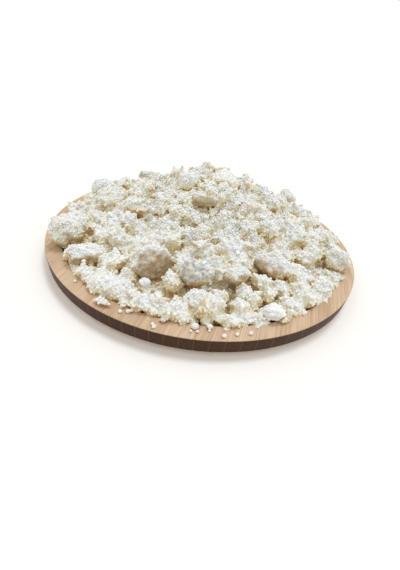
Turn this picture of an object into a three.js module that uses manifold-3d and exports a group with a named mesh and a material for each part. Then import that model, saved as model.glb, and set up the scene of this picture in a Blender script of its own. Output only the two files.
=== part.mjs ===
// A round bamboo serving dish heaped with crumbled tulum cheese.
//
// The dish is turned from one glued bamboo block: a flat rim round a shallow
// well, an upright outer wall and an undercut that runs in to a flat foot.
// The cheese is one heap, with its crumbs and small clumps fused together.
// The larger lumps lie in or on the heap as pieces of their own, and one small
// cluster of crumbs has rolled out on to the rim.
//
// Millimetres. +Z is up, and the origin is the centre of the foot's underside.
// -Y is the front of the dish.

import * as THREE from "three";
import { mergeVertices } from "three/addons/utils/BufferGeometryUtils.js";
import Module from "manifold-3d";

// ---------------------------------------------------------------- dimensions

const DISH_RADIUS = 150;
const DISH_HEIGHT = 16;
const FOOT_RADIUS = 140;
const UNDERCUT_HEIGHT = 5;
const RIM_WIDTH = 13;
const FLOOR_THICKNESS = 6;
const WELL_FILLET = 5;
const WELL_WALL_LEAN = 1.5;
const EDGE_ROUND = 0.8;
const DISH_SEGMENTS = 80;

const WELL_RADIUS = DISH_RADIUS - RIM_WIDTH;
const GAP = 0.35;
const SOCKET_GAP = 0.5;

// The heap is a flat apron of clumps that reaches the rim, with a mound on it
// that is wider from side to side than from front to back, and steeper on its
// right.
const APRON_EDGE_Z = 16;
const APRON_RISE = 8;
const APRON_SHOULDER_RADIUS = 95;
const MOUND_RISE = 48;
const MOUND_SPREAD = 58;
const MOUND_STRETCH_LEFT = 1.27;
const MOUND_STRETCH_RIGHT = 1.05;
const MOUND_CENTRE = { x: 5, y: 12 };
const CORE_SINK = 3;
const CORE_RING_STEP = 13;
const CORE_SEGMENTS = 32;
const CORE_BUMP = 2.2;
const CORE_BUMP_PITCH = 7.5;
const CORE_BEND_PITCH = 12;

// Clumps are fused all over the heap: a ring of them against the rim, and the
// rest on a spiral inside it, largest near the rim. Sizes are from the smallest
// to the largest, and length and height are shares of a clump's width.
const RIM_CLUMPS = 38;
const RIM_CLUMP_RADIUS = 127;
const SPIRAL_CLUMPS = 76;
const SPIRAL_RADIUS = 113;
const CLUMP_APRON_SIZE = [16, 26];
const CLUMP_MOUND_SIZE = [14, 22];
const MOUND_FOOT = [40, 90];
const CLUMP_LENGTH = [0.85, 1.35];
const CLUMP_HEIGHT = [0.65, 0.9];
const CLUMP_LIFT = 0.1;
const CLUMP_JITTER = 6;
const CLUMP_TURN_JITTER = 0.3;
const SMALL_CLUMP = 22;
const LUMP_ELBOW_ROOM = 0.08;
const CLUMP_SEED = 29;
const GOLDEN_ANGLE = Math.PI * (3 - Math.sqrt(5));

// The waves that make a lump uneven: how many, how closely they run over it,
// and how much shallower each is than the one before.
const KNOB_WAVES = 7;
const KNOB_PITCH = [2.4, 7.8];
const KNOB_FADE = 0.35;
const USUAL_KNOBS = 0.14;

// The lumps that lie apart from the heap: where the middle of each one is, its
// size, how far it is turned about Z and leans back, and how knobbly it is where
// that isn't as usual.
const LUMPS = [
  { name: "lump_front_round", at: [-3, -103, 32], size: [24, 21, 23], knobs: 0.06, seed: 3 },
  { name: "lump_front_slab", at: [-35, -93, 30], size: [37, 15, 27], turn: 12, lean: 28, seed: 8 },
  { name: "lump_right_block", at: [59, -79, 32], size: [32, 25, 27], turn: -24, lean: 9, seed: 12 },
  { name: "lump_left_rim", at: [-114, -60, 28], size: [29, 26, 25], turn: 20, knobs: 0.12, seed: 21 },
  { name: "lump_left_long", at: [-88, -86, 23], size: [36, 19, 17], turn: 24, seed: 34 },
  { name: "lump_front_low", at: [6, -123, 23], size: [25, 21, 20], turn: 8, knobs: 0.15, seed: 40 },
  { name: "lump_front_white", at: [56, -121, 22], size: [17, 14, 13], turn: 10, knobs: 0.1, seed: 45 },
  { name: "lump_right_rim", at: [121, -47, 27], size: [25, 25, 23], turn: -10, seed: 50 },
  { name: "lump_front_centre", at: [29, -95, 30], size: [20, 18, 18], turn: 30, knobs: 0.15, seed: 58 },
  { name: "lump_small_smooth", at: [-37, -112, 26], size: [11, 8, 9], turn: -20, knobs: 0.05, seed: 61 },
  { name: "lump_back_left", at: [-119, 42, 25], size: [31, 26, 27], knobs: 0.08, seed: 66 },
  { name: "lump_shoulder", at: [-70, 58, 36], size: [33, 24, 24], turn: -14, knobs: 0.15, seed: 71 },
  { name: "lump_back_tall", at: [91, 62, 34], size: [21, 19, 28], turn: 16, seed: 77 },
  { name: "lump_back_right", at: [57, 52, 40], size: [28, 24, 22], turn: -20, seed: 83 },
  { name: "lump_peak", at: [13, 9, 65], size: [34, 30, 24], seed: 90 },
  { name: "lump_peak_left", at: [-19, 4, 60], size: [27, 24, 18], turn: 25, knobs: 0.16, seed: 95 },
  { name: "lump_brow", at: [-4, -25, 57], size: [29, 15, 14], turn: -4, lean: 14, seed: 99 },
];

// The crumbs that stuck together on the front left of the rim.
const CLUSTER = { name: "rim_crumb_cluster", at: [-62, -130], turn: -25, seed: 7 };
const CLUSTER_CRUMBS = 6;
const CLUSTER_LENGTH = 14;
const CLUSTER_SPREAD = 1.5;
const CLUSTER_CRUMB_SIZE = [4.2, 6.2];
const CRUMB_KNOBS = 0.1;
const CRUMB_LIFT = 0.4;

// ------------------------------------------------------------------ materials

const bamboo = new THREE.MeshStandardMaterial({ color: 0xd8b68a, roughness: 0.55, metalness: 0 });
const curd = new THREE.MeshStandardMaterial({ color: 0xf1ead8, roughness: 0.85, metalness: 0 });
const lumpCurd = new THREE.MeshStandardMaterial({ color: 0xf3eddd, roughness: 0.8, metalness: 0 });

// -------------------------------------------------------------------- helpers

const wasm = await Module();
wasm.setup();

// Draws numbers from 0 to 1, the same ones for the same seed, by a linear
// congruential generator on 32-bit whole numbers.
const RANDOM_FACTOR = 1664525;
const RANDOM_STEP = 1013904223;
const SEED_FACTOR = 2654435761;

function seededRandom(seed) {
  let state = Math.imul(seed + 1, SEED_FACTOR) >>> 0;
  return () => {
    state = (Math.imul(state, RANDOM_FACTOR) + RANDOM_STEP) >>> 0;
    return state / 2 ** 32;
  };
}

function between([low, high], share) {
  return low + (high - low) * share;
}

function smoothStep(low, high, value) {
  return THREE.MathUtils.smoothstep(value, low, high);
}

// A closed geometry as a solid, without the flat triangles a lathe has on its axis.
function toSolid(geometry) {
  const bare = geometry.clone();
  bare.deleteAttribute("normal");
  bare.deleteAttribute("uv");
  const merged = mergeVertices(bare, 1e-4);
  const kept = [];
  for (let i = 0; i < merged.index.count; i += 3) {
    const [a, b, c] = [0, 1, 2].map((k) => merged.index.getX(i + k));
    if (a !== b && b !== c && a !== c) kept.push(a, b, c);
  }
  return new wasm.Manifold(
    new wasm.Mesh({
      numProp: 3,
      vertProperties: new Float32Array(merged.attributes.position.array),
      triVerts: new Uint32Array(kept),
    }),
  );
}

// The largest body of a solid: cuts leave loose scraps, which are dropped.
function largestBody(solid) {
  return solid.decompose().reduce((a, b) => (b.volume() > a.volume() ? b : a));
}

function toMesh(name, solid, material) {
  const made = solid.getMesh();
  const geometry = new THREE.BufferGeometry();
  geometry.setAttribute("position", new THREE.BufferAttribute(new Float32Array(made.vertProperties), 3));
  geometry.setIndex(new THREE.BufferAttribute(new Uint32Array(made.triVerts), 1));
  geometry.computeVertexNormals();
  const mesh = new THREE.Mesh(geometry, material);
  mesh.name = name;
  return mesh;
}

// Turns a profile of [radius, height] points about Z.
function turned(profile, segments) {
  const points = profile.map(([r, z]) => new THREE.Vector2(r, z));
  return new THREE.LatheGeometry(points, segments).rotateX(Math.PI / 2);
}

// Points on an arc of the profile, from one angle to another in degrees.
function arc([centreR, centreZ], radius, from, to, steps) {
  return Array.from({ length: steps + 1 }, (_, i) => {
    const angle = THREE.MathUtils.degToRad(from + ((to - from) * i) / steps);
    return [centreR + radius * Math.cos(angle), centreZ + radius * Math.sin(angle)];
  });
}

// ----------------------------------------------------------------------- dish

// The dish's section, or the same section grown by `grow` on every face that
// cheese can touch, which is what the cheese is cut back to.
function dishProfile(grow = 0) {
  const top = DISH_HEIGHT + grow;
  const floor = FLOOR_THICKNESS + grow;
  const well = WELL_RADIUS - grow;
  const outer = DISH_RADIUS + grow;
  const round = EDGE_ROUND;
  const foot = well - WELL_WALL_LEAN - WELL_FILLET;
  return [
    [0, 0],
    [FOOT_RADIUS, 0],
    [outer - round, UNDERCUT_HEIGHT - round],
    [outer, UNDERCUT_HEIGHT],
    ...arc([outer - round, top - round], round, 0, 90, 2),
    ...arc([well + round, top - round], round, 90, 180, 2),
    ...arc([foot, floor + WELL_FILLET], WELL_FILLET, -8, -90, 3),
    [0, floor],
  ];
}

const dish = toMesh("dish", toSolid(turned(dishProfile(), DISH_SEGMENTS)), bamboo);
const dishClearance = toSolid(turned(dishProfile(GAP), DISH_SEGMENTS));

// ----------------------------------------------------------------------- heap

// Height of the heap's surface over the table, before clumps and crumbs.
function heapHeight(x, y) {
  const edge = smoothStep(APRON_SHOULDER_RADIUS, WELL_RADIUS, Math.hypot(x, y));
  const stretch = x < MOUND_CENTRE.x ? MOUND_STRETCH_LEFT : MOUND_STRETCH_RIGHT;
  const across = (x - MOUND_CENTRE.x) / stretch;
  const along = y - MOUND_CENTRE.y;
  const mound = Math.exp(-((Math.hypot(across, along) / MOUND_SPREAD) ** 2));
  return APRON_EDGE_Z + APRON_RISE * (1 - edge) + MOUND_RISE * mound;
}

// Uneven rises and dips of the core: waves about two clumps apart each way,
// which bend as they cross.
function coreBump(x, y) {
  const acrossWave = Math.sin(x / CORE_BUMP_PITCH + Math.sin(y / CORE_BEND_PITCH));
  const alongWave = Math.cos(y / CORE_BUMP_PITCH - Math.sin(x / CORE_BEND_PITCH));
  return CORE_BUMP * acrossWave * alongWave;
}

// The core under the clumps: a lathe whose upper rings are raised to the
// heap's surface, less the depth that the clumps cover.
function heapCore() {
  const coreRadius = WELL_RADIUS - WELL_WALL_LEAN - 2 * GAP;
  const bottomRadius = coreRadius - WELL_FILLET;
  const rings = Math.floor(coreRadius / CORE_RING_STEP);
  const ringRadii = Array.from({ length: rings + 1 }, (_, i) => (coreRadius * (rings - i)) / rings);
  const upper = ringRadii.map((radius) => [radius, DISH_HEIGHT]);
  const bottom = FLOOR_THICKNESS + GAP;
  const geometry = turned([[0, bottom], [bottomRadius, bottom], ...upper], CORE_SEGMENTS);
  const position = geometry.attributes.position;
  for (let i = 0; i < position.count; i++) {
    if (position.getZ(i) < DISH_HEIGHT) continue;
    const x = position.getX(i);
    const y = position.getY(i);
    position.setZ(i, heapHeight(x, y) - CORE_SINK + coreBump(x, y));
  }
  return toSolid(geometry);
}

// The balls that pieces are made from, with fewer faces the smaller the piece is.
const lumpBall = () => new THREE.IcosahedronGeometry(1, 1);
const clumpBall = () => new THREE.OctahedronGeometry(1, 1);
const crumbBall = () => new THREE.IcosahedronGeometry(1, 0);

// An uneven lump with its middle at the origin. Its radius swells and shrinks
// over waves in a few random directions, and it is then drawn out to its size.
function lumpGeometry(ball, size, knobs, seed) {
  const random = seededRandom(seed);
  const waves = Array.from({ length: KNOB_WAVES }, (_, i) => ({
    direction: new THREE.Vector3(random() - 0.5, random() - 0.5, random() - 0.5).normalize(),
    pitch: between(KNOB_PITCH, i / (KNOB_WAVES - 1)),
    phase: random() * 2 * Math.PI,
    depth: knobs / (1 + KNOB_FADE * i),
  }));
  const swellAlong = (point) =>
    waves.reduce((sum, w) => sum + w.depth * Math.cos(w.pitch * point.dot(w.direction) + w.phase), 1);
  const geometry = ball();
  const position = geometry.attributes.position;
  const point = new THREE.Vector3();
  for (let i = 0; i < position.count; i++) {
    point.fromBufferAttribute(position, i).normalize();
    point.multiplyScalar(swellAlong(point));
    position.setXYZ(i, point.x, point.y, point.z);
  }
  geometry.computeBoundingBox();
  const box = geometry.boundingBox;
  const middle = box.getCenter(new THREE.Vector3());
  const extent = box.getSize(new THREE.Vector3());
  geometry.translate(-middle.x, -middle.y, -middle.z);
  geometry.scale(size[0] / extent.x, size[1] / extent.y, size[2] / extent.z);
  return geometry;
}

function lumpSolid({ at, size, turn = 0, lean = 0, knobs = USUAL_KNOBS, seed }, ball, grow = 0) {
  const grown = size.map((s) => s + 2 * grow);
  const geometry = lumpGeometry(ball, grown, knobs, seed)
    .rotateX(-THREE.MathUtils.degToRad(lean))
    .rotateZ(THREE.MathUtils.degToRad(turn))
    .translate(...at);
  return toSolid(geometry);
}

// Whether a clump of some width would crowd one of the lumps.
function crowdsLump(x, y, width) {
  return LUMPS.some(({ at, size }) => {
    const reach = Math.min(size[0], size[1]) / 2 + LUMP_ELBOW_ROOM * width;
    return Math.hypot(x - at[0], y - at[1]) < reach;
  });
}

// A clump at a radius and an angle, sunk into the heap's surface there, or
// none where a lump lies.
function heapClump(radius, angle, random, seed) {
  const x = radius * Math.cos(angle);
  const y = radius * Math.sin(angle);
  const low = smoothStep(...MOUND_FOOT, radius);
  const range = [0, 1].map((k) => THREE.MathUtils.lerp(CLUMP_MOUND_SIZE[k], CLUMP_APRON_SIZE[k], low));
  const width = between(range, random());
  const size = [width * between(CLUMP_LENGTH, random()), width, width * between(CLUMP_HEIGHT, random())];
  const turn = 360 * random();
  if (crowdsLump(x, y, width)) return [];
  const at = [x, y, heapHeight(x, y) - CORE_SINK + CLUMP_LIFT * width];
  const ball = width < SMALL_CLUMP ? crumbBall : clumpBall;
  return [lumpSolid({ at, size, turn, seed }, ball)];
}

// Every clump is moved a little at random, so that they don't line up.
function heapClumps() {
  const random = seededRandom(CLUMP_SEED);
  const jitter = (reach) => reach * (random() - 0.5);
  const ring = Array.from({ length: RIM_CLUMPS }, (_, i) => {
    const angle = (2 * Math.PI * i) / RIM_CLUMPS + jitter(CLUMP_TURN_JITTER / 3);
    return heapClump(RIM_CLUMP_RADIUS + jitter(CLUMP_JITTER), angle, random, i);
  });
  const spiral = Array.from({ length: SPIRAL_CLUMPS }, (_, i) => {
    const radius = SPIRAL_RADIUS * Math.sqrt((i + 0.5) / SPIRAL_CLUMPS) + jitter(CLUMP_JITTER);
    return heapClump(radius, i * GOLDEN_ANGLE + jitter(CLUMP_TURN_JITTER), random, RIM_CLUMPS + i);
  });
  return [...ring, ...spiral].flat();
}

// ---------------------------------------------------------------------- lumps

// Each lump is cut clear of the dish and of the lumps before it, and the heap
// is then cut clear of them all.
const lumps = [];
let taken = dishClearance;
for (const lump of LUMPS) {
  lumps.push(toMesh(lump.name, largestBody(lumpSolid(lump, lumpBall).subtract(taken)), lumpCurd));
  taken = taken.add(lumpSolid(lump, lumpBall, SOCKET_GAP));
}

const heapSolid = wasm.Manifold.union([heapCore(), ...heapClumps()]).subtract(taken);
const heap = toMesh("curd_heap", largestBody(heapSolid), curd);

// --------------------------------------------------------------- rim cluster

// Crumbs in a short uneven row, stuck together and lying on the rim.
function rimCluster({ at, turn, seed }) {
  const random = seededRandom(seed);
  const along = new THREE.Vector2(1, 0).rotateAround(new THREE.Vector2(), THREE.MathUtils.degToRad(turn));
  const crumbs = Array.from({ length: CLUSTER_CRUMBS }, (_, i) => {
    const width = between(CLUSTER_CRUMB_SIZE, random());
    const offset = (CLUSTER_LENGTH - width) * (i / (CLUSTER_CRUMBS - 1) - 0.5);
    const side = (i % 2 ? 1 : -1) * CLUSTER_SPREAD * random();
    const x = at[0] + offset * along.x - side * along.y;
    const y = at[1] + offset * along.y + side * along.x;
    const middle = [x, y, DISH_HEIGHT + GAP + CRUMB_LIFT * width];
    const crumb = { at: middle, size: [width, width, width], knobs: CRUMB_KNOBS, seed: seed + i };
    return lumpSolid(crumb, crumbBall);
  });
  return largestBody(wasm.Manifold.union(crumbs).subtract(taken));
}

const cluster = toMesh(CLUSTER.name, rimCluster(CLUSTER), curd);

// ------------------------------------------------------------------- the part

const part = new THREE.Group();
part.name = "dish_of_tulum_cheese";
part.add(dish, heap, ...lumps, cluster);

export default part;
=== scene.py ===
# A round bamboo dish heaped with crumbled tulum cheese.
#
# The pieces follow the dish as it is filled: the turned dish, the pressed curd
# at the bottom of the heap, the clumps and curds on it, the grains that cover
# them, the larger lumps, and the crumbs that fell on the rim. Metres, +Z up,
# with -Y the front of the dish.

import math

import bmesh
import bpy
import numpy as np
from mathutils import Matrix, Vector
from mathutils.bvhtree import BVHTree


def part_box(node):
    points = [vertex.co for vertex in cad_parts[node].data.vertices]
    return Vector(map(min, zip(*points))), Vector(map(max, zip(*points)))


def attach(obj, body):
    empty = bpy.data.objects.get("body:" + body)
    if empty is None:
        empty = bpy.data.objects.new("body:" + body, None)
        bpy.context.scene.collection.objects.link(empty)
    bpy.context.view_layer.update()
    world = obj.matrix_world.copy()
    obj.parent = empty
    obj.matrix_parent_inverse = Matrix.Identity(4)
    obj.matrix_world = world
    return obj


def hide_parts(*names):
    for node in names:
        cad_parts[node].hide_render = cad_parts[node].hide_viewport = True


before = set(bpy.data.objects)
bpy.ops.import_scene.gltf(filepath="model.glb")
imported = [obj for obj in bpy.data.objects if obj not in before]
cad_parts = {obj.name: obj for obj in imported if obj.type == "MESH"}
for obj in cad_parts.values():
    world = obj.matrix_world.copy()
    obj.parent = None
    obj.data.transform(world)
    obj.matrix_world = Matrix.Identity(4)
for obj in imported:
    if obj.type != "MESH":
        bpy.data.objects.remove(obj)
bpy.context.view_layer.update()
MM = 0.001


# ------------------------------------------------------------------- the dish
# One round of glued bamboo strips, turned on a lathe: a flat rim about 13 mm
# wide round a shallow well, an upright wall, and an undercut that runs in to
# the foot. Sanded and wiped with oil, with the strips' ends darker outside,
# partly from end grain and partly as painted shade on the wall.

STRIP_WIDTH = 9.75 * MM
STRIP_TURN = math.radians(14)
FIBRE_WIDTH = 0.5 * MM
FIBRE_LENGTH = 40 * MM
DISH_SIDES = 256
RIM_WIDTH = 13 * MM
EDGE_ROUND = 0.8 * MM
EDGE_STEPS = 4
UNDERCUT = 5 * MM
FOOT_INSET = 10 * MM
FOOT_ROUND = 0.2 * MM
WELL_FLOOR = 6 * MM
WELL_FILLET = 5 * MM
WELL_LEAN = 1.5 * MM

# The strips' own tones, and the tones that their fibres and broader bands lay
# over them, each with its place on a ramp from dark to pale.
STRIP_TONES = ((0.0, (0.53, 0.402, 0.285)), (0.5, (0.565, 0.432, 0.315)), (1.0, (0.60, 0.472, 0.35)))
FIBRE_TONES = ((0.3, (0.70, 0.60, 0.48)), (0.52, (1.0, 1.0, 1.0)), (0.75, (1.12, 1.10, 1.06)))
BAND_TONES = ((0.32, (0.86, 0.80, 0.72)), (0.55, (1.0, 1.0, 1.0)), (0.8, (1.08, 1.02, 0.96)))
END_GRAIN_AND_SHADE = (0.095, 0.05, 0.028)
GLUE = (0.17, 0.10, 0.05)
# Where the glue begins and is full, as a share of a strip's width from its middle.
GLUE_EDGES = (0.468, 0.494)


def add(tree, kind, inputs=None, **settings):
    """A new node with its settings, and its inputs joined to sockets or set to values."""
    node = tree.nodes.new(kind)
    for name, value in settings.items():
        setattr(node, name, value)
    for key, value in (inputs or {}).items():
        if isinstance(key, int):
            socket = node.inputs[key]
        else:
            socket = next(s for s in node.inputs if s.name == key and s.enabled)
        if isinstance(value, bpy.types.NodeSocket):
            tree.links.new(value, socket)
        else:
            socket.default_value = value
    return node


def math_node(tree, operation, *values, clamp=False):
    """The output of a Math node on these values."""
    inputs = dict(enumerate(values))
    return add(tree, "ShaderNodeMath", inputs, operation=operation, use_clamp=clamp).outputs[0]


def ranged(tree, value, low, high, at_low=0.0, at_high=1.0, **settings):
    """A value carried from the range low to high over to another range, and held at its ends."""
    inputs = {"Value": value, "From Min": low, "From Max": high, "To Min": at_low, "To Max": at_high}
    return add(tree, "ShaderNodeMapRange", inputs, **settings).outputs[0]


def part_of(tree, vector, axis):
    """One of a vector's three parts."""
    return add(tree, "ShaderNodeSeparateXYZ", {0: vector}).outputs[axis]


def noise(tree, place, fineness, detail, output="Fac", **texture):
    """An output of a Noise Texture."""
    inputs = {"Vector": place, "Scale": fineness, "Detail": detail, **texture}
    return add(tree, "ShaderNodeTexNoise", inputs).outputs[output]


def ramp(tree, value, *stops):
    """The colour output of a ramp with stops of (place, colour)."""
    node = add(tree, "ShaderNodeValToRGB", {"Fac": value})
    elements = node.color_ramp.elements
    while len(elements) < len(stops):
        elements.new(0.5)
    for element, (place, colour) in zip(elements, stops):
        element.position = place
        element.color = (*colour, 1)
    return node.outputs["Color"]


def mixed(tree, factor, a, b, blend="MIX"):
    """The colour output of a Mix node."""
    node = add(tree, "ShaderNodeMix", data_type="RGBA", blend_type=blend)
    for socket, value in ((node.inputs[0], factor), (node.inputs[6], a), (node.inputs[7], b)):
        if isinstance(value, bpy.types.NodeSocket):
            tree.links.new(value, socket)
        else:
            socket.default_value = (*value, 1) if isinstance(value, tuple) else value
    return node.outputs[2]


def new_material(name, **constants):
    """A Principled material, its constants set on the shader's own sockets."""
    material = bpy.data.materials.new(name)
    material.use_nodes = True
    shader = material.node_tree.nodes["Principled BSDF"]
    for key, value in constants.items():
        shader.inputs[key.replace("_", " ")].default_value = value
    return material, material.node_tree, shader


def bamboo_material():
    """Oiled strips, each with its own tone and fibres, and dark end grain on the turned wall, darkened
    further as painted shade.
    """
    material, tree, shader = new_material("oiled bamboo", Specular_IOR_Level=0.2, Coat_Weight=0.03)
    place = add(tree, "ShaderNodeTexCoord").outputs["Object"]
    turned = add(tree, "ShaderNodeMapping", {"Vector": place, "Rotation": (0, 0, STRIP_TURN)}).outputs[0]
    axes = add(tree, "ShaderNodeSeparateXYZ", {"Vector": turned}).outputs
    strip = math_node(tree, "DIVIDE", axes["X"], STRIP_WIDTH)
    number = math_node(tree, "FLOOR", strip)
    across = math_node(tree, "FRACT", strip)
    tone = add(tree, "ShaderNodeTexWhiteNoise", {"W": number}, noise_dimensions="1D").outputs["Value"]
    along = math_node(tree, "MULTIPLY_ADD", number, 0.37, axes["Y"])
    shifted = add(tree, "ShaderNodeCombineXYZ", {"X": axes["X"], "Y": along, "Z": axes["Z"]}).outputs[0]

    def drawn_out(width, length, detail):
        """A noise stretched along the strips, that starts anew on each."""
        stretch = (1 / width, 1 / length, 1 / (4 * width))
        stretched = add(tree, "ShaderNodeMapping", {"Vector": shifted, "Scale": stretch}).outputs[0]
        return noise(tree, stretched, 1.0, detail)

    fibre = drawn_out(FIBRE_WIDTH, FIBRE_LENGTH, 3.0)
    band = drawn_out(5 * FIBRE_WIDTH, 2.5 * FIBRE_LENGTH, 2.0)
    wood = ramp(tree, tone, *STRIP_TONES)
    wood = mixed(tree, 1.0, wood, ramp(tree, fibre, *FIBRE_TONES), "MULTIPLY")
    wood = mixed(tree, 1.0, wood, ramp(tree, band, *BAND_TONES), "MULTIPLY")

    # The turned wall shows end grain, which drinks the oil and goes dark, and it is darkened much further as
    # painted shade on every upright face.
    normal = add(tree, "ShaderNodeNewGeometry").outputs["Normal"]
    upright = math_node(tree, "SUBTRACT", 1.0, math_node(tree, "ABSOLUTE", part_of(tree, normal, "Z")))
    wall = ranged(tree, upright, 0.3, 0.8)
    wood = mixed(tree, 1.0, wood, mixed(tree, wall, (1.0, 1.0, 1.0), END_GRAIN_AND_SHADE), "MULTIPLY")

    # The glue line at each strip's edge, which stands out more on the wall.
    from_middle = math_node(tree, "ABSOLUTE", math_node(tree, "SUBTRACT", across, 0.5))
    joint = ranged(tree, from_middle, *GLUE_EDGES)
    joint_depth = math_node(tree, "MULTIPLY_ADD", wall, 0.35, 0.22)
    wood = mixed(tree, math_node(tree, "MULTIPLY", joint, joint_depth), wood, GLUE)
    tree.links.new(wood, shader.inputs["Base Color"])

    gloss = ranged(tree, fibre, 0.0, 1.0, 0.62, 0.46)
    tree.links.new(gloss, shader.inputs["Roughness"])
    height = math_node(tree, "SUBTRACT", fibre, joint)
    bump = add(tree, "ShaderNodeBump", {"Height": height, "Strength": 0.25, "Distance": 0.2 * MM})
    tree.links.new(bump.outputs[0], shader.inputs["Normal"])
    return material


def arc(centre, radius, start, end, steps):
    """Points of a profile from one angle to another, in degrees."""
    angles = np.radians(np.linspace(start, end, steps + 1))
    return [(centre[0] + radius * math.cos(a), centre[1] + radius * math.sin(a)) for a in angles]


def dish_profile():
    """The dish's section, from its foot out round the rim and in to the well's floor."""
    low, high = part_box("dish")
    outer, top = high.x, high.z
    foot, well = outer - FOOT_INSET, outer - RIM_WIDTH
    fillet_middle = well - WELL_LEAN - WELL_FILLET
    edge = EDGE_ROUND
    return [
        (foot - edge, low.z),
        (foot, low.z + FOOT_ROUND),
        *arc((outer - edge, UNDERCUT), edge, -40, 0, EDGE_STEPS),
        *arc((outer - edge, top - edge), edge, 0, 90, EDGE_STEPS),
        *arc((well + edge, top - edge), edge, 90, 180, EDGE_STEPS),
        *arc((fillet_middle, WELL_FLOOR + WELL_FILLET), WELL_FILLET, -8, -90, 2 * EDGE_STEPS),
    ]


def in_scene(name, data):
    """A new object in the scene that holds this mesh, light or camera."""
    made = bpy.data.objects.new(name, data)
    bpy.context.scene.collection.objects.link(made)
    return made


def mesh_object(name, bm):
    """A smooth-shaded object from a bmesh, which it frees."""
    mesh = bpy.data.meshes.new(name)
    bm.to_mesh(mesh)
    bm.free()
    mesh.shade_smooth()
    return in_scene(name, mesh)


def lathe(name, profile, sides):
    """A closed body turned about Z from a profile that starts and ends short of the axis."""
    bm = bmesh.new()
    rings = []
    for radius, z in profile:
        angles = [2 * math.pi * k / sides for k in range(sides)]
        rings.append([bm.verts.new((radius * math.cos(a), radius * math.sin(a), z)) for a in angles])
    for below, above in zip(rings, rings[1:]):
        for k in range(sides):
            following = (k + 1) % sides
            bm.faces.new((below[k], below[following], above[following], above[k]))
    for ring in (rings[0], rings[-1]):
        middle = bm.verts.new((0, 0, ring[0].co.z))
        for k in range(sides):
            bm.faces.new((ring[k], ring[(k + 1) % sides], middle))
    bmesh.ops.recalc_face_normals(bm, faces=bm.faces)
    return mesh_object(name, bm)


def finish_piece(piece, slot, *nodes):
    """Rides the piece on the dish's body, in place of its CAD nodes, which it hides. The slot it is given is
    not used.
    """
    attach(piece, "root")
    if nodes:
        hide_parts(*nodes)


dish = lathe("turned_dish", dish_profile(), DISH_SIDES)
dish.data.materials.append(bamboo_material())
finish_piece(dish, "bamboo", "dish")


# ----------------------------------------------------------- the pressed curd
# The bottom of the heap, where curd has packed together: white on top of each
# knob, with painted shade of cream on its sides and warm tan down in the creases.
# It is one body, its clumps swollen into knobs and its knobs into curds.

CORE_FORM_VOXEL = 1.8 * MM
CORE_VOXEL = 1.5 * MM
CORE_SMOOTHING = 4
CORE_SHRINK = 0.6 * MM
KNOB_SIZE = 10 * MM
KNOB_DEPTH = 3.2 * MM
CURD_SIZE = 4.4 * MM
CURD_DEPTH = 1.4 * MM
CREASE_REACH = 20 * MM
CREASE_DEPTH = 4 * MM
MOUND_MIDDLE = (5 * MM, 12 * MM, 0.0)
MOUND_EDGE = 62 * MM
MOUND_FADE = 14 * MM
MOUND_DROP = 2 * MM
APRON_DROP = 3.3 * MM
RIM_FADE = (112 * MM, 130 * MM)
# Where the mound's flanks fall more steeply or its top stands higher than a
# smooth cone: place, reach and change of height, in mm.
TRIMS = (((37, 26), 20, -6), ((-45, 27), 18, -4), ((9, 20), 22, 4.5))
# How far off cheese shelters a point, how widely that is felt for, how often it
# is evened out, and the most that counts.
SHELTER_REACH = 12 * MM
SHELTER_SPREAD = 0.85
SHELTER_EVEN = 8
MOST_HOLLOW = 0.58

# The curd's colour in the air and its painted shade on its sides and in hollows,
# then a damp broken face's tan and grey dust, both partly painted shade, and the palest lumps.
CURD_WHITE = (0.86, 0.895, 0.918)
CREAM_SHADE_AND_PATCHES = (0.875, 0.80, 0.55)
WARM_HOLLOW_SHADE = (0.80, 0.55, 0.28)
BROKEN_TAN_AND_SHADE = (0.37, 0.272, 0.165)
GREY_DUST_AND_SHADE = (0.28, 0.285, 0.30)
PALE_WHITE = (0.80, 0.85, 0.90)
GRAIN_PITCH = 1.7 * MM


def vector_node(tree, operation, a, b=None, scale=None, output=0):
    """An output of a Vector Math node."""
    inputs = {0: a}
    if b is not None:
        inputs[1] = b
    if scale is not None:
        inputs["Scale"] = scale
    return add(tree, "ShaderNodeVectorMath", inputs, operation=operation).outputs[output]


def cells(tree, place, fineness):
    """How far each place is from the nearest of the points that a Voronoi texture scatters."""
    inputs = {"Vector": place, "Scale": fineness}
    return add(tree, "ShaderNodeTexVoronoi", inputs, feature="F1").outputs["Distance"]


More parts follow.
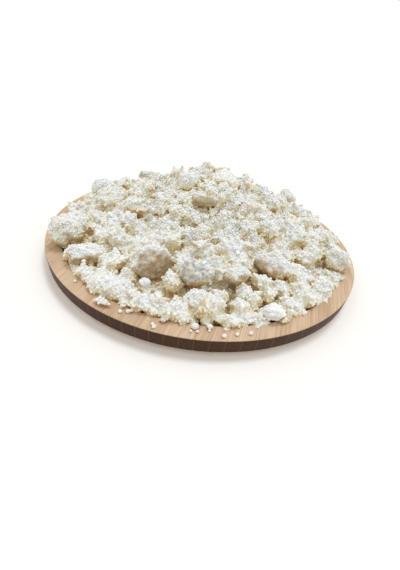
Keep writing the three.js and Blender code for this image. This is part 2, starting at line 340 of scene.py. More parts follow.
def curd_material(name):
    """Curd that is white in the open air, with painted shade: cream on its sides and where it is sheltered,
    warm tan in its hollows and undersides.
    """
    material, tree, shader = new_material(
        name, Roughness=0.62, Specular_IOR_Level=0.35, Subsurface_Weight=0.4,
        Subsurface_Scale=1.5 * MM, Subsurface_Radius=(1.0, 0.85, 0.65),
    )
    labels = ("hollow", "facing", "pit", "tone", "moist", "dusty", "pale")
    hollow, facing, pit, tone, moist, dusty, pale = (
        add(tree, "ShaderNodeAttribute", attribute_name=label).outputs["Fac"] for label in labels
    )
    place = add(tree, "ShaderNodeTexCoord").outputs["Object"]
    patch = noise(tree, place, 70.0, 3.0)
    speck = noise(tree, place, 1100.0, 2.0)
    mottle = ranged(tree, noise(tree, place, 330.0, 2.0), 0.35, 0.62)

    # Painted shade: white turns to cream on the sides, near other cheese and between grains. Random patches
    # of cream are the curd's own.
    side = ranged(tree, facing, 0.75, -0.3, 0.0, 0.82)
    near = ranged(tree, hollow, 0.08, 0.5)
    pit = ranged(tree, pit, 0.25, 0.8)
    cream = math_node(tree, "MULTIPLY_ADD", near, 1.1, side)
    cream = math_node(tree, "MULTIPLY_ADD", pit, 0.16, cream)
    patchy = math_node(tree, "SUBTRACT", patch, 0.5)
    cream = math_node(tree, "MULTIPLY_ADD", patchy, 0.9, cream, clamp=True)
    colour = mixed(tree, cream, CURD_WHITE, CREAM_SHADE_AND_PATCHES)

    # Painted shade: deep hollows and undersides turn warm tan, and the pits between grains are darkened. Each
    # grain also has its own random tone.
    under = ranged(tree, facing, 0.3, -0.6, 0.0, 0.45)
    depth = ranged(tree, math_node(tree, "ADD", hollow, under), 0.26, 0.70)
    colour = mixed(tree, depth, colour, WARM_HOLLOW_SHADE)
    pit_shade = math_node(tree, "MULTIPLY_ADD", pit, -0.12, 1.0)
    own_shade = math_node(tree, "MULTIPLY_ADD", tone, 0.08, 0.94)
    shade = math_node(tree, "MULTIPLY", pit_shade, own_shade)
    colour = vector_node(tree, "SCALE", colour, scale=shade)

    # What the lumps alone have: damp broken faces, their tan darkened as painted shade, grey dust that is
    # partly painted shade, and a pale skin.
    tan_shade_strength = math_node(tree, "MULTIPLY_ADD", mottle, 0.45, 0.6)
    colour = mixed(tree, math_node(tree, "MULTIPLY", moist, tan_shade_strength), colour, BROKEN_TAN_AND_SHADE)
    dust_shade_amount = math_node(tree, "MULTIPLY_ADD", mottle, -0.8, 1.0)
    colour = mixed(tree, math_node(tree, "MULTIPLY", dusty, dust_shade_amount), colour, GREY_DUST_AND_SHADE)
    colour = mixed(tree, pale, colour, PALE_WHITE)
    tree.links.new(colour, shader.inputs["Base Color"])

    # The finest grains are bumps, since the mesh is too coarse for them.
    coarse = cells(tree, place, 1 / GRAIN_PITCH)
    fine = cells(tree, place, 2.1 / GRAIN_PITCH)
    grainy = math_node(tree, "MULTIPLY_ADD", math_node(tree, "MULTIPLY", fine, fine), 0.4,
                       math_node(tree, "MULTIPLY", coarse, coarse))
    grainy = math_node(tree, "MULTIPLY_ADD", speck, -0.3, grainy)
    inputs = {"Height": grainy, "Strength": 0.8, "Distance": 0.4 * MM}
    bump = add(tree, "ShaderNodeBump", inputs, invert=True)
    tree.links.new(bump.outputs[0], shader.inputs["Normal"])
    return material


def new_tree(name, **inputs):
    """A geometry node tree with a Geometry input, these inputs, and a Geometry output."""
    tree = bpy.data.node_groups.new(name, "GeometryNodeTree")
    tree.is_modifier = True
    tree.interface.new_socket("Geometry", in_out="INPUT", socket_type="NodeSocketGeometry")
    for label, default in inputs.items():
        kind = {int: "NodeSocketInt", float: "NodeSocketFloat"}.get(type(default), "NodeSocketObject")
        socket = tree.interface.new_socket(label.replace("_", " "), in_out="INPUT", socket_type=kind)
        if default is not None:
            socket.default_value = default
    tree.interface.new_socket("Geometry", in_out="OUTPUT", socket_type="NodeSocketGeometry")
    return tree, tree.nodes.new("NodeGroupInput").outputs, tree.nodes.new("NodeGroupOutput").inputs


def apply_tree(piece, tree, **values):
    """Adds the tree to the piece as a modifier, with its named inputs set by their identifiers."""
    modifier = piece.modifiers.new(tree.name, "NODES")
    modifier.node_group = tree
    for item in tree.interface.items_tree:
        key = item.name.replace(" ", "_")
        if item.in_out == "INPUT" and key in values:
            modifier[item.identifier] = values[key]


def frozen(piece, name):
    """A new object that holds the piece's evaluated mesh, with no modifiers. The piece is removed."""
    view = bpy.context.evaluated_depsgraph_get()
    mesh = bpy.data.meshes.new_from_object(piece.evaluated_get(view))
    bpy.data.objects.remove(piece)
    mesh.name = name
    return in_scene(name, mesh)


def place_of(tree):
    """Where each point of the mesh is."""
    return add(tree, "GeometryNodeInputPosition").outputs[0]


def normal_of(tree):
    """Which way the mesh faces at each point."""
    return add(tree, "GeometryNodeInputNormal").outputs[0]


def stored(tree, label, kind="FLOAT"):
    """A value that an earlier step stored on the mesh."""
    return add(tree, "GeometryNodeInputNamedAttribute", {"Name": label}, data_type=kind).outputs[0]


def with_values(tree, geometry, domain="POINT", **values):
    """The geometry with these values stored on it, under their names."""
    for label, value in values.items():
        geometry = add(
            tree, "GeometryNodeStoreNamedAttribute", {"Geometry": geometry, "Name": label, "Value": value},
            data_type="FLOAT", domain=domain,
        ).outputs[0]
    return geometry


def blurred(tree, value, times, kind="FLOAT"):
    """A value evened out over the mesh, this many times."""
    inputs = {"Value": value, "Iterations": times}
    return add(tree, "GeometryNodeBlurAttribute", inputs, data_type=kind).outputs[0]


def moved_by(tree, geometry, offset):
    """The geometry with each of its points moved by an offset."""
    return add(tree, "GeometryNodeSetPosition", {"Geometry": geometry, "Offset": offset}).outputs[0]


def of_curd(tree, geometry):
    """The geometry smooth shaded and made of curd."""
    smooth = add(tree, "GeometryNodeSetShadeSmooth", {"Geometry": geometry}).outputs[0]
    return add(tree, "GeometryNodeSetMaterial", {"Geometry": smooth, "Material": curd}).outputs[0]


def swollen(tree, geometry, rise):
    """The geometry pushed out along its normals, as curd."""
    offset = vector_node(tree, "SCALE", normal_of(tree), scale=rise)
    return of_curd(tree, moved_by(tree, geometry, offset))


def wobbled(tree, place, fineness, depth):
    """The place moved a little by a noise, so that what is laid out on it comes out uneven."""
    push = noise(tree, place_of(tree), fineness, 1.0, "Color")
    return vector_node(tree, "ADD", place, vector_node(tree, "SCALE", push, scale=depth))


def domes(tree, place, size, depth, rise=0.35):
    """Height of rounded knobs that meet in creases, and the distance to each one's middle."""
    cell = cells(tree, place, math_node(tree, "DIVIDE", 1.0, size))
    fall = math_node(tree, "MULTIPLY", cell, cell)
    return math_node(tree, "MULTIPLY", math_node(tree, "SUBTRACT", rise, fall), depth), cell


def relief_tree():
    """Swells a surface into knobs and curds."""
    tree, given, result = new_tree(
        "curd_relief", Shrink=0.0, Knob_size=KNOB_SIZE, Knob_depth=KNOB_DEPTH, Curd_size=CURD_SIZE,
        Curd_depth=CURD_DEPTH, Seed=0.0,
    )
    shift = add(tree, "ShaderNodeCombineXYZ", {"X": given["Seed"], "Y": given["Seed"]}).outputs[0]
    moved = wobbled(tree, vector_node(tree, "ADD", place_of(tree), shift), 120.0, 5 * MM)
    knobs = domes(tree, moved, given["Knob size"], given["Knob depth"])[0]
    curds = domes(tree, moved, given["Curd size"], given["Curd depth"])[0]
    rise = math_node(tree, "SUBTRACT", math_node(tree, "ADD", knobs, curds), given["Shrink"])
    tree.links.new(swollen(tree, given["Geometry"], rise), result["Geometry"])
    return tree


def shelter_tree():
    """Stores how much of the air round each point the cheese near it takes up, and how far it looks up."""
    tree, given, result = new_tree("curd_shelter", Around=None, Reach=SHELTER_REACH)
    around = add(tree, "GeometryNodeObjectInfo", {"Object": given["Around"]}).outputs["Geometry"]
    normal = normal_of(tree)
    start = vector_node(tree, "ADD", place_of(tree), vector_node(tree, "SCALE", normal, scale=0.3 * MM))
    total = 0.0
    directions = [(x, y, z) for x in (-1, 1) for y in (-1, 1) for z in (-1, 1)] + [(0, 0, 1.5)]
    for direction in directions:
        leaning = tuple(SHELTER_SPREAD * c / math.sqrt(3) for c in direction)
        inputs = {
            "Target Geometry": around, "Source Position": start,
            "Ray Direction": vector_node(tree, "ADD", normal, leaning), "Ray Length": given["Reach"],
        }
        ray = add(tree, "GeometryNodeRaycast", inputs).outputs
        way = math_node(tree, "DIVIDE", ray["Hit Distance"], given["Reach"])
        near = math_node(tree, "SUBTRACT", 1.0, way)
        taken = math_node(tree, "MULTIPLY", ray["Is Hit"], math_node(tree, "MULTIPLY_ADD", near, 0.6, 0.4))
        total = math_node(tree, "ADD", total, taken)
    share = math_node(tree, "DIVIDE", total, float(len(directions)))
    share = math_node(tree, "MINIMUM", share, MOST_HOLLOW)
    marked = with_values(
        tree, given["Geometry"], hollow=blurred(tree, share, SHELTER_EVEN),
        facing=blurred(tree, part_of(tree, normal, "Z"), SHELTER_EVEN),
    )
    tree.links.new(marked, result["Geometry"])
    return tree


def flat_distance(tree, place, middle):
    """How far each place is from an upright line through a middle."""
    flat = vector_node(tree, "MULTIPLY", vector_node(tree, "SUBTRACT", place, middle), (1.0, 1.0, 0.0))
    return vector_node(tree, "LENGTH", flat, output="Value")


def crease_tree():
    """Lowers a surface in its hollows and all over, for what is strewn on it, but not by the rim."""
    tree, given, result = new_tree(
        "deeper_gaps", Depth=CREASE_DEPTH, On_mound=MOUND_DROP, Round_mound=APRON_DROP,
        Mound_edge=MOUND_EDGE, Fade=MOUND_FADE,
    )
    share = ranged(tree, blurred(tree, stored(tree, "hollow"), 4), 0.08, 0.4)
    place = place_of(tree)

    def faded(middle, near, far, at_near, at_far):
        """A value that changes smoothly from one distance from a middle to another."""
        length = flat_distance(tree, place, middle)
        return ranged(tree, length, near, far, at_near, at_far, interpolation_type="SMOOTHSTEP")

    edge = math_node(tree, "ADD", given["Mound edge"], given["Fade"])
    drop = faded(MOUND_MIDDLE, given["Mound edge"], edge, given["On mound"], given["Round mound"])
    drop = math_node(tree, "MULTIPLY_ADD", share, given["Depth"], drop)
    drop = math_node(tree, "MULTIPLY", drop, faded((0.0, 0.0, 0.0), *RIM_FADE, 1.0, 0.0))
    for (x, y), reach, change in TRIMS:
        rise = faded((x * MM, y * MM, 0.0), 0.0, reach * MM, change * MM, 0.0)
        drop = math_node(tree, "SUBTRACT", drop, rise)
    upward = math_node(tree, "MAXIMUM", part_of(tree, normal_of(tree), "Z"), 0.0)
    sink = math_node(tree, "MULTIPLY", drop, math_node(tree, "MULTIPLY", upward, -1.0))
    offset = add(tree, "ShaderNodeCombineXYZ", {"Z": sink}).outputs[0]
    tree.links.new(moved_by(tree, given["Geometry"], offset), result["Geometry"])
    return tree


def evened(piece, voxel, smoothing):
    """Gives the piece an even mesh and rounds it off."""
    remesh = piece.modifiers.new("even", "REMESH")
    remesh.mode = "VOXEL"
    remesh.voxel_size = voxel
    smooth = piece.modifiers.new("soft", "SMOOTH")
    smooth.factor = 0.5
    smooth.iterations = smoothing


def copied_node(node, voxel, smoothing):
    """A merged, evenly remeshed and smoothed copy of a CAD node."""
    bm = bmesh.new()
    bm.from_mesh(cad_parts[node].data)
    bmesh.ops.remove_doubles(bm, verts=bm.verts, dist=1e-6)
    piece = mesh_object(node + "_form", bm)
    evened(piece, voxel, smoothing)
    return piece


curd = curd_material("tulum curd")
curd_relief = relief_tree()
curd_shelter = shelter_tree()
core = copied_node("curd_heap", CORE_FORM_VOXEL, CORE_SMOOTHING)
apply_tree(core, curd_shelter, Around=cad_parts["curd_heap"], Reach=CREASE_REACH)
apply_tree(core, crease_tree(), Depth=CREASE_DEPTH)
evened(core, CORE_VOXEL, CORE_SMOOTHING)
apply_tree(core, curd_relief, Shrink=CORE_SHRINK)
core = frozen(core, "pressed_curd")


# ---------------------------------------------------------- the broken pieces
# Walnut and hazelnut sized pieces that lie round the mound, some on the rim's
# inner edge. They have settled into each other, so they are fused as one body
# with deep gaps, and swollen into curds as the pressed curd is.

# Those at the front, by the place of their middles and their size, in mm.
FRONT_PIECES = (
    ((-105, -83, 18), (8, 9, 11)), ((-86, -101, 17), (11, 10, 12)), ((-77, -108, 17), (7, 7, 8)),
    ((-68, -91, 22), (21, 16, 15)), ((-52, -104, 20), (14, 10, 12)), ((-67, -114, 17), (20, 13, 16)),
    ((-48, -118, 17), (19, 12, 15)), ((-35, -126, 18), (16, 11, 13)), ((-26, -125, 18), (15, 11, 12)),
    ((-18, -107, 23), (14, 14, 19)), ((-1, -123, 19), (16, 14, 17)), ((11, -124, 19), (19, 15, 20)),
    ((26, -132, 17), (21, 7, 9)), ((32, -120, 19), (14, 12, 14)), ((18, -113, 22), (11, 9, 10)),
    ((35, -106, 23), (10, 10, 13)), ((34, -80, 28), (20, 13, 14)), ((49, -95, 24), (15, 12, 13)),
    ((63, -94, 22), (15, 11, 12)), ((68, -107, 18), (11, 12, 14)), ((44, -111, 20), (10, 10, 11)),
    ((54, -105, 21), (10, 8, 8)), ((-9, -133, 17), (11, 7, 8)), ((64, -121, 17), (11, 6, 7)),
)
PIECE_WIDTH = (9 * MM, 21 * MM)
PIECE_SPACING = 14.5 * MM
# Pieces keep this share of their two half widths apart, and sink in by this
# share of their height.
PIECE_CLEAR = 0.85
PIECE_SINK = 0.36
PIECE_SEED = 5
PIECE_VOXEL = 1.35 * MM
PIECE_SMOOTHING = 2
PIECE_BEND = 14 * MM
PIECE_BEND_DEPTH = 6.5 * MM
PIECE_RELIEF = {"Knob_size": 7 * MM, "Knob_depth": 1.5 * MM, "Curd_size": 3.1 * MM, "Curd_depth": 1.1 * MM}
# The outermost ring of pieces, and how far out any of these may reach.
HEAP_EDGE = 134 * MM
HEAP_REACH = 141 * MM
# Smaller ones in a row where the heap meets the rim.
RIM_CURDS = {"count": 124, "ring": 133 * MM, "stray": 1.6 * MM, "width": (5.5 * MM, 9 * MM), "sink": 0.5 * MM}


def balls_on(tree, points, subdivisions, turn, scale):
    """A ball one unit wide at each point, turned and scaled, as instances."""
    inputs = {"Radius": 0.5, "Subdivisions": subdivisions}
    ball = add(tree, "GeometryNodeMeshIcoSphere", inputs).outputs["Mesh"]
    inputs = {"Points": points, "Instance": ball, "Rotation": turn, "Scale": scale}
    return add(tree, "GeometryNodeInstanceOnPoints", inputs).outputs[0]


def uneven_bodies(tree, instances, fineness, depth, detail, **texture):
    """The instances as plain mesh, their points pushed about by a noise."""
    joined = add(tree, "GeometryNodeRealizeInstances", {"Geometry": instances}).outputs[0]
    push = noise(tree, place_of(tree), fineness, detail, "Color", **texture)
    centred = vector_node(tree, "SUBTRACT", push, (0.5, 0.5, 0.5))
    return moved_by(tree, joined, vector_node(tree, "SCALE", centred, scale=depth))


def broken_piece_tree():
    """Sets an uneven rounded body at each point, with the size that is stored on it."""
    tree, given, result = new_tree(
        "broken_pieces", Bend=PIECE_BEND, Bend_depth=PIECE_BEND_DEPTH, Seed=PIECE_SEED,
    )
    limits = {"Min": (-0.3, -0.3, -0.5), "Max": (0.3, 0.3, 0.5), "Seed": given["Seed"]}
    turn = add(tree, "FunctionNodeRandomValue", limits, data_type="FLOAT_VECTOR").outputs[0]
    points = add(tree, "GeometryNodeMeshToPoints", {"Mesh": given["Geometry"]}).outputs[0]
    bodies = balls_on(tree, points, 4, turn, stored(tree, "size", "FLOAT_VECTOR"))
    fineness = math_node(tree, "DIVIDE", 1.0, given["Bend"])
    bent = uneven_bodies(tree, bodies, fineness, given["Bend depth"], 2.0, Roughness=0.6)
    tree.links.new(bent, result["Geometry"])
    return tree


def on_circle(radius, angle, height):
    """A place on a level circle round the dish's axis."""
    return Vector((radius * math.cos(angle), radius * math.sin(angle), height))


def piece_places():
    """Places and sizes of the front pieces, and of others at random round the mound that clear them."""
    draw = np.random.default_rng(PIECE_SEED)
    heap = BVHTree.FromObject(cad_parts["curd_heap"], bpy.context.evaluated_depsgraph_get())
    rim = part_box("dish")[1].z
    taken = [(Vector(place) * MM, max(size) * MM / 2) for place, size in FRONT_PIECES]
    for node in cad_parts:
        if node.startswith("lump_"):
            low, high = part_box(node)
            taken.append(((low + high) / 2, (high.x - low.x + high.y - low.y) / 4))
    pieces = [(Vector(place) * MM, Vector(size) * MM) for place, size in FRONT_PIECES]
    ring = HEAP_EDGE
    while ring > MOUND_EDGE + 4 * MM:
        count = int(2 * math.pi * ring / PIECE_SPACING)
        for k in range(count):
            angle = 2 * math.pi * (k + draw.uniform(-0.3, 0.3)) / count
            width = draw.uniform(*PIECE_WIDTH)
            radius = min(ring + draw.uniform(-0.25, 0.1) * PIECE_SPACING, HEAP_REACH - width / 2)
            spot = on_circle(radius, angle, 0.2)
            hit = heap.ray_cast(spot, (0, 0, -1))[0]
            if hit is None or hit.z < rim:
                hit = Vector((spot.x, spot.y, rim))
            size = Vector(width * f for f in draw.uniform((0.85, 0.7, 0.6), (1.1, 0.95, 0.9)))
            middle = Vector((hit.x, hit.y, hit.z - PIECE_SINK * size.z))
            if all((middle - other).length > PIECE_CLEAR * (reach + width / 2) for other, reach in taken):
                pieces.append((middle, size))
        ring -= 0.9 * PIECE_SPACING
    for k in range(RIM_CURDS["count"]):
        angle = 2 * math.pi * (k + draw.uniform(-0.3, 0.3)) / RIM_CURDS["count"]
        radius = RIM_CURDS["ring"] + draw.uniform(-1, 1) * RIM_CURDS["stray"]
        width = draw.uniform(*RIM_CURDS["width"])
        place = on_circle(radius, angle, rim - RIM_CURDS["sink"])
        pieces.append((place, Vector((width, width, 0.9 * width))))
    return pieces


def sized_points(name, places):
    """Loose points from pairs of a place and a size, with the size stored on each."""
    mesh = bpy.data.meshes.new(name)
    mesh.from_pydata([place for place, size in places], [], [])
    sizes = mesh.attributes.new("size", "FLOAT_VECTOR", "POINT")
    sizes.data.foreach_set("vector", [c for place, size in places for c in size])
    return in_scene(name, mesh)


piece_tree = broken_piece_tree()
pieces = sized_points("piece_places", piece_places())
apply_tree(pieces, piece_tree, Bend=PIECE_BEND, Bend_depth=PIECE_BEND_DEPTH, Seed=PIECE_SEED)
evened(pieces, PIECE_VOXEL, PIECE_SMOOTHING)
apply_tree(pieces, curd_relief, **PIECE_RELIEF)
pieces = frozen(pieces, "broken_pieces")


# ----------------------------------------------------------- clumps and curds
# The loose cheese: clumps that held together, and the curds broken from them.
# They are small rounded bodies strewn over the core and the broken pieces, and
# the next section fuses them with what they lie on.

# How the bodies of a kind are strewn: their least and greatest width and how far
# they lie apart, in mm, the seed, the share of a body that is sunk in, how far
# the ground has to look up, and, in mm, how near the mound's middle they lie.
CLUMPS = {"size": (3.5, 11.0), "apart": 8.0, "seed": 11, "sink": 0.35, "least": -0.2, "within": 70}
CURDS = {"size": (2.8, 6.2), "apart": 5.0, "seed": 23, "sink": 0.35, "least": -0.2}
CLUMP_RELIEF = {"Knob_size": 6 * MM, "Knob_depth": 1.2 * MM, "Curd_size": 3.6 * MM, "Curd_depth": 1.6 * MM}
# Nothing is strewn lower down than this.
HEAP_FOOT = 12 * MM


def strewn_tree(name, subdivisions, roughen):
    """Strews rounded bodies over a surface's upper side, sunk a little into it and squashed at random."""
    tree, given, result = new_tree(
        name, Smallest=1 * MM, Largest=2 * MM, Apart=2 * MM, Sink=0.1, Least_upward=0.0,
        Lowest=HEAP_FOOT, Left=-1.0, Right=1.0, Within=1.0, Beyond=0.0,
        Most_hollow=0.56, Most_moist=0.36, Seed=1,
    )
    place = place_of(tree)
    away = flat_distance(tree, place, MOUND_MIDDLE)
    hollow = stored(tree, "hollow")
    tests = (
        (part_of(tree, normal_of(tree), "Z"), "GREATER_THAN", "Least upward"),
        (part_of(tree, place, "Z"), "GREATER_THAN", "Lowest"),
        (part_of(tree, place, "X"), "GREATER_EQUAL", "Left"),
        (part_of(tree, place, "X"), "LESS_THAN", "Right"),
        (away, "LESS_THAN", "Within"),
        (away, "GREATER_EQUAL", "Beyond"),
        (hollow, "LESS_THAN", "Most hollow"),
        (stored(tree, "moist"), "LESS_THAN", "Most moist"),
    )
    shown = True
    for value, test, limit in tests:
        passed = add(tree, "FunctionNodeCompare", {"A": value, "B": given[limit]}, operation=test).outputs[0]
        shown = add(tree, "FunctionNodeBooleanMath", {0: shown, 1: passed}, operation="AND").outputs[0]
    inputs = {
        "Mesh": given["Geometry"], "Selection": shown, "Distance Min": given["Apart"],
        "Density Max": 1e6, "Seed": given["Seed"],
    }
    spread = add(tree, "GeometryNodeDistributePointsOnFaces", inputs, distribute_method="POISSON").outputs

    def draw(step, low, high, kind="FLOAT"):
        """The outputs of a random value for each body: the first is a vector, the second a number."""
        seed = math_node(tree, "ADD", given["Seed"], float(step))
        limits = {"Min": low, "Max": high, "Seed": seed}
        return add(tree, "FunctionNodeRandomValue", limits, data_type=kind).outputs

    biased = math_node(tree, "POWER", draw(1, 0.0, 1.0)[1], 1.6)
    reach = math_node(tree, "SUBTRACT", given["Largest"], given["Smallest"])
    width = math_node(tree, "MULTIPLY_ADD", biased, reach, given["Smallest"])
    squash = draw(2, (0.8, 0.8, 0.72), (1.2, 1.2, 1.05), "FLOAT_VECTOR")[0]
    turn = draw(3, (0.0, 0.0, 0.0), (math.tau, math.tau, math.tau), "FLOAT_VECTOR")[0]
    lift = math_node(tree, "MULTIPLY", math_node(tree, "SUBTRACT", 0.5, given["Sink"]), width)
    lifted = moved_by(tree, spread["Points"], vector_node(tree, "SCALE", spread["Normal"], scale=lift))
    bodies = balls_on(tree, lifted, subdivisions, turn, vector_node(tree, "SCALE", squash, scale=width))
    # Each body takes the ground's shelter and facing, which the curd's painted shade reads, and a random tone
    # of its own.
    marked = with_values(
        tree, bodies, "INSTANCE", tone=draw(4, 0.0, 1.0)[1],
        hollow=math_node(tree, "MULTIPLY", hollow, 0.45), facing=stored(tree, "facing"), moist=0.0, pit=0.2,
    )
    fineness = math_node(tree, "DIVIDE", 1.1, given["Largest"])
    depth = math_node(tree, "MULTIPLY", given["Largest"], roughen)
    rough = uneven_bodies(tree, marked, fineness, depth, 1.0)
    tree.links.new(of_curd(tree, rough), result["Geometry"])
    return tree


def strew(name, surface, kind, tree, left=-1.0, right=1.0):
    """A piece of loose bodies over a surface object, which stays as it is."""
    piece = in_scene(name + "_ground", surface.data.copy())
    apply_tree(
        piece, tree, Smallest=kind["size"][0] * MM, Largest=kind["size"][1] * MM, Apart=kind["apart"] * MM,
        Sink=kind["sink"], Least_upward=kind["least"], Within=kind.get("within", 1000) * MM,
        Beyond=kind.get("beyond", 0) * MM, Left=left, Right=right, Seed=kind["seed"],
    )
    return frozen(piece, name)


def gathered(name, *pieces):
    """One object that holds copies of all these pieces' meshes, with what is stored on them."""
    tree, given, result = new_tree(name, **{f"Piece_{k}": None for k in range(len(pieces))})
    group = tree.nodes.new("GeometryNodeJoinGeometry")
    for k in range(len(pieces)):
        source = add(tree, "GeometryNodeObjectInfo", {"Object": given[f"Piece {k}"]}).outputs["Geometry"]
        tree.links.new(source, group.inputs[0])
    tree.links.new(group.outputs[0], result["Geometry"])
    holder = in_scene(name, bpy.data.meshes.new(name))
    apply_tree(holder, tree, **{f"Piece_{k}": piece for k, piece in enumerate(pieces)})
    return frozen(holder, name)


def sheltered(piece, around):
    """The piece with the shelter that the gathered cheese gives it stored on it."""
    name = piece.name
    apply_tree(piece, curd_shelter, Around=around)
    made = frozen(piece, name + "_done")
    made.name = name
    return made


clump_tree = strewn_tree("strewn_clumps", 3, 0.9)
curd_tree = strewn_tree("strewn_curds", 2, 0.8)
clumps = strew("loose_clumps", core, CLUMPS, clump_tree)
apply_tree(clumps, curd_relief, **CLUMP_RELIEF)
clumps = frozen(clumps, "loose_clumps")
bare = gathered("bare", dish, core, pieces, clumps)
ground = sheltered(gathered("ground", core, pieces, clumps), bare)
curds = strew("loose_curds", ground, CURDS, curd_tree)


# --------------------------------------------------------- the heap's surface
# All that lies in the dish has settled together, so the core, the pieces, the
# clumps and the curds are fused as one crumbly body and roughened into grains.
# Its mesh is in parts, side by side, so that none is too heavy to handle.

HEAP_VOXEL = 0.95 * MM
HEAP_SMOOTHING = 1
HEAP_BASE = 9 * MM
HEAP_CUTS = (-37 * MM, 27 * MM)
GAP_FILLED = 0.5 * MM
GRAIN_SIZE = 2.4 * MM
GRAIN_DEPTH = 1.7 * MM


def grain_relief_tree():
    """Roughens a surface into grains, less on a damp broken face, and stores how far down between them it is,
    which the curd's painted shade reads.
    """
    tree, given, result = new_tree("grain_relief", Grain_size=GRAIN_SIZE, Grain_depth=GRAIN_DEPTH, Shrink=0.0)
    moved = wobbled(tree, place_of(tree), 260.0, 2.5 * MM)
    roughness = ranged(tree, stored(tree, "moist"), 0.1, 0.6, 1.0, 0.45)
    depth = math_node(tree, "MULTIPLY", given["Grain depth"], roughness)
    grains, cell = domes(tree, moved, given["Grain size"], depth, 0.3)
    rise = math_node(tree, "SUBTRACT", grains, given["Shrink"])
    marked = with_values(tree, given["Geometry"], pit=cell)
    tree.links.new(swollen(tree, marked, rise), result["Geometry"])
    return tree


def cavity_tree():
    """Removes closed-in hollows, which are the islands whose faces look inward."""
    tree, given, result = new_tree("no_cavities")
    island = add(tree, "GeometryNodeInputMeshIsland").outputs["Island Index"]
    reach = vector_node(tree, "DOT_PRODUCT", place_of(tree), normal_of(tree), output="Value")
    area = add(tree, "GeometryNodeInputMeshFaceArea").outputs[0]
    inputs = {"Value": math_node(tree, "MULTIPLY", reach, area), "Group ID": island}
    sums = add(tree, "GeometryNodeAccumulateField", inputs, data_type="FLOAT", domain="FACE").outputs
    inputs = {"A": sums["Total"], "B": 0.0}
    inward = add(tree, "FunctionNodeCompare", inputs, operation="LESS_THAN").outputs[0]
    inputs = {"Geometry": given["Geometry"], "Selection": inward}
    kept = add(tree, "GeometryNodeDeleteGeometry", inputs, domain="FACE").outputs[0]
    tree.links.new(kept, result["Geometry"])
    return tree


def cut_off(piece, name, place, direction):
    """The part of a body on the far side of a plane, closed with a flat face, as a new object."""
    bm = bmesh.new()
    bm.from_mesh(piece.data)
    parts = bm.verts[:] + bm.edges[:] + bm.faces[:]
    bmesh.ops.bisect_plane(bm, geom=parts, dist=1e-7, plane_co=place, plane_no=direction, clear_inner=True)
    rim = [edge for edge in bm.edges if edge.is_boundary]
    bmesh.ops.holes_fill(bm, edges=rim, sides=0)
    for edge in rim:
        edge.smooth = False
    made = mesh_object(name, bm)
    made.data.materials.append(curd)
    return made


def discard(*pieces):
    """Removes pieces that only helped to make others."""
    for piece in pieces:
        bpy.data.objects.remove(piece)


grain_relief = grain_relief_tree()
heap = gathered("fused_heap", core, pieces, clumps, curds)
swell = heap.modifiers.new("fill narrow gaps", "DISPLACE")
swell.mid_level = 0
swell.strength = GAP_FILLED
evened(heap, HEAP_VOXEL, HEAP_SMOOTHING)
apply_tree(heap, cavity_tree())
apply_tree(heap, grain_relief, Shrink=GAP_FILLED)
heap = frozen(heap, "fused_heap")
discard(core, pieces, clumps, curds, bare, ground)
lump_forms = [node for name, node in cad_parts.items() if name.startswith("lump_")]
whole = gathered("whole", dish, heap, *lump_forms)
heap = sheltered(heap, whole)
discard(whole)
heap_parts = []
rest = cut_off(heap, "heap_rest", (0, 0, HEAP_BASE), (0, 0, 1))
for k, x in enumerate(HEAP_CUTS):
    heap_parts.append(cut_off(rest, f"pressed_curd_{k + 1}", (x, 0, 0), (-1, 0, 0)))
    smaller = cut_off(rest, "heap_rest", (x, 0, 0), (1, 0, 0))
    discard(rest)
    rest = smaller
rest.name = f"pressed_curd_{len(HEAP_CUTS) + 1}"
heap_parts.append(rest)
for piece in heap_parts:
    finish_piece(piece, "cheese", "curd_heap")


# ----------------------------------------------------------- the loose grains
# What crumbled off as the cheese was heaped and lies loose on it: grains on
# the mound, finer ones round it, and a few bits as big as a lentil. They are
# strewn over the heap's surface, in parts that match its own.

MOUND_GRAINS = {"size": (1.7, 3.3), "apart": 2.15, "seed": 37, "sink": 0.42, "least": -0.4, "within": 72}
APRON_GRAINS = {"size": (1.3, 2.6), "apart": 2.4, "seed": 39, "sink": 0.48, "least": -0.5, "beyond": 70}
BITS = {"size": (2.2, 4.2), "apart": 14, "seed": 53, "sink": 0.25, "least": 0.1, "beyond": 72}

grain_tree = strewn_tree("strewn_grains", 1, 0.8)
bits = strew("loose_bits", heap, BITS, curd_tree)
grain_parts = []
edges = (-1.0, *HEAP_CUTS, 1.0)
for k, (left, right) in enumerate(zip(edges, edges[1:])):
    coarse = strew("coarse", heap, MOUND_GRAINS, grain_tree, left, right)
    fine = strew("fine", heap, APRON_GRAINS, grain_tree, left, right)
    grain_parts.append(gathered(f"loose_grains_{k + 1}", coarse, fine))
    discard(coarse, fine)
for piece in (*grain_parts, bits):
    finish_piece(piece, "cheese", "curd_heap")


# ------------------------------------------------------------------ the lumps
# Pieces of the block that didn't crumble, from a hazelnut's to a walnut's size.
# Where one broke off the block its face is smooth, damp and tan, the tan made
# darker as painted shade; the rest is dry and white, and most carry grains on top.

LUMP_VOXEL = 0.85 * MM
LUMP_SMOOTHING = 18
LUMP_SHRINK = 0.7 * MM
LUMP_CURD_SIZE = 3.2 * MM
LUMP_GRAIN_DEPTH = 0.8 * GRAIN_DEPTH
LUMP_GRAINS = {"size": (1.5, 2.5), "apart": 1.9, "sink": 0.5, "least": -0.5}
FIRST_LUMP_SEED = 71
# Above this share of a lump's height its top is dry and crumbly, with no tan or painted shade.
CRUMBLY_TOP = 0.86
NO_FACE = (0.0, 0.0, -1.0)
